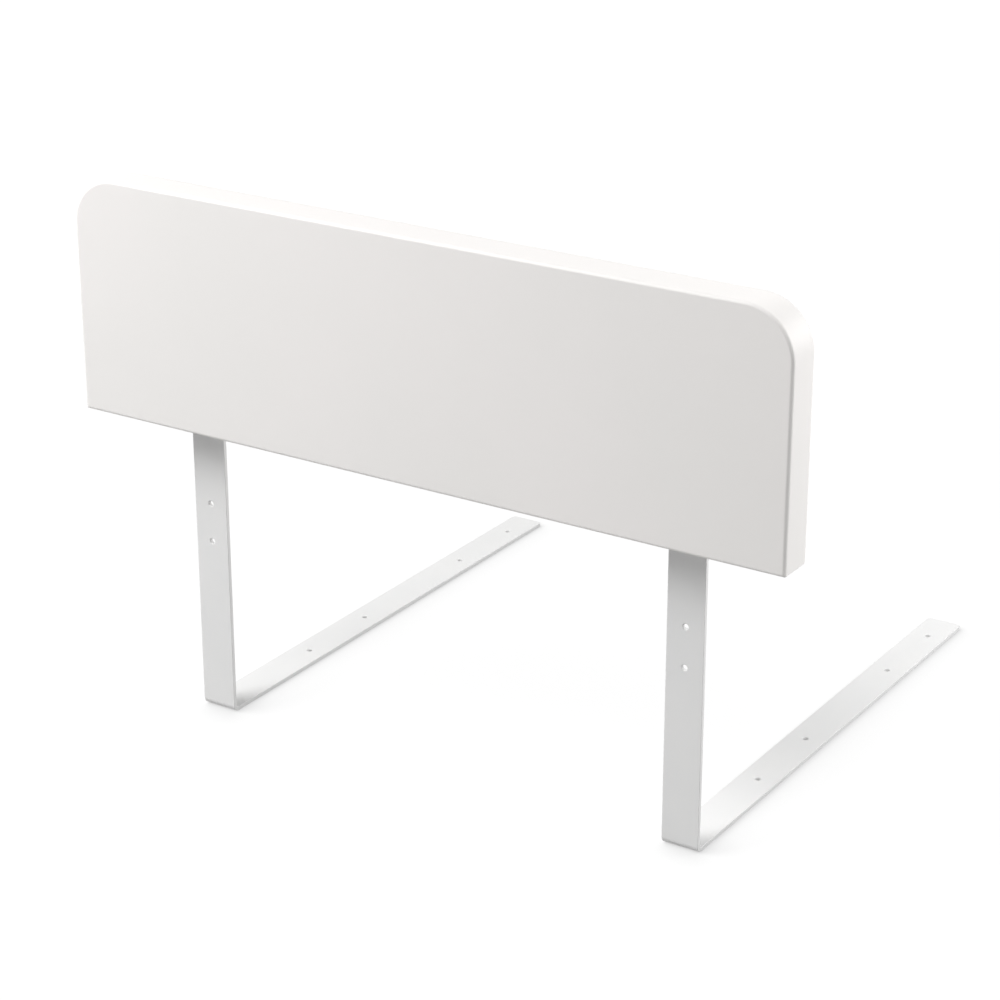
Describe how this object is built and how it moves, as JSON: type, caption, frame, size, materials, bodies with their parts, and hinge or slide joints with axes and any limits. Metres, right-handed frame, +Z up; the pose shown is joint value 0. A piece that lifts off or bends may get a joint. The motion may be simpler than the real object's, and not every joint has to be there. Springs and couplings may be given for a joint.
{
  "type": "bed guard rail",
  "caption": "Guard board with rounded top corners on bent flat-steel brackets, whose legs slide under a mattress to stop a sleeper rolling out of bed.",
  "frame": {"origin": "on the floor under the legs, at the centre of the whole part's footprint", "axes": "+X along the board, +Y from the board towards the mattress and the legs' far ends, +Z up"},
  "size_m": [0.9, 0.7362, 0.645],
  "materials": {
    "white_lacquer": "satin white lacquer over solid board, no grain showing",
    "white_powder_coat": "smooth matt white powder coat over steel",
    "zinc_plate": "bright zinc plate"
  },
  "bodies": {
    "root": {"guard_board": "white_lacquer", "left_bracket": "white_powder_coat", "left_lower_screw": "zinc_plate", "left_lower_washer": "zinc_plate", "left_lower_insert": "zinc_plate", "left_upper_screw": "zinc_plate", "left_upper_washer": "zinc_plate", "left_upper_insert": "zinc_plate", "right_bracket": "white_powder_coat", "right_lower_screw": "zinc_plate", "right_lower_washer": "zinc_plate", "right_lower_insert": "zinc_plate", "right_upper_screw": "zinc_plate", "right_upper_washer": "zinc_plate", "right_upper_insert": "zinc_plate"}
  },
  "joints": []
}
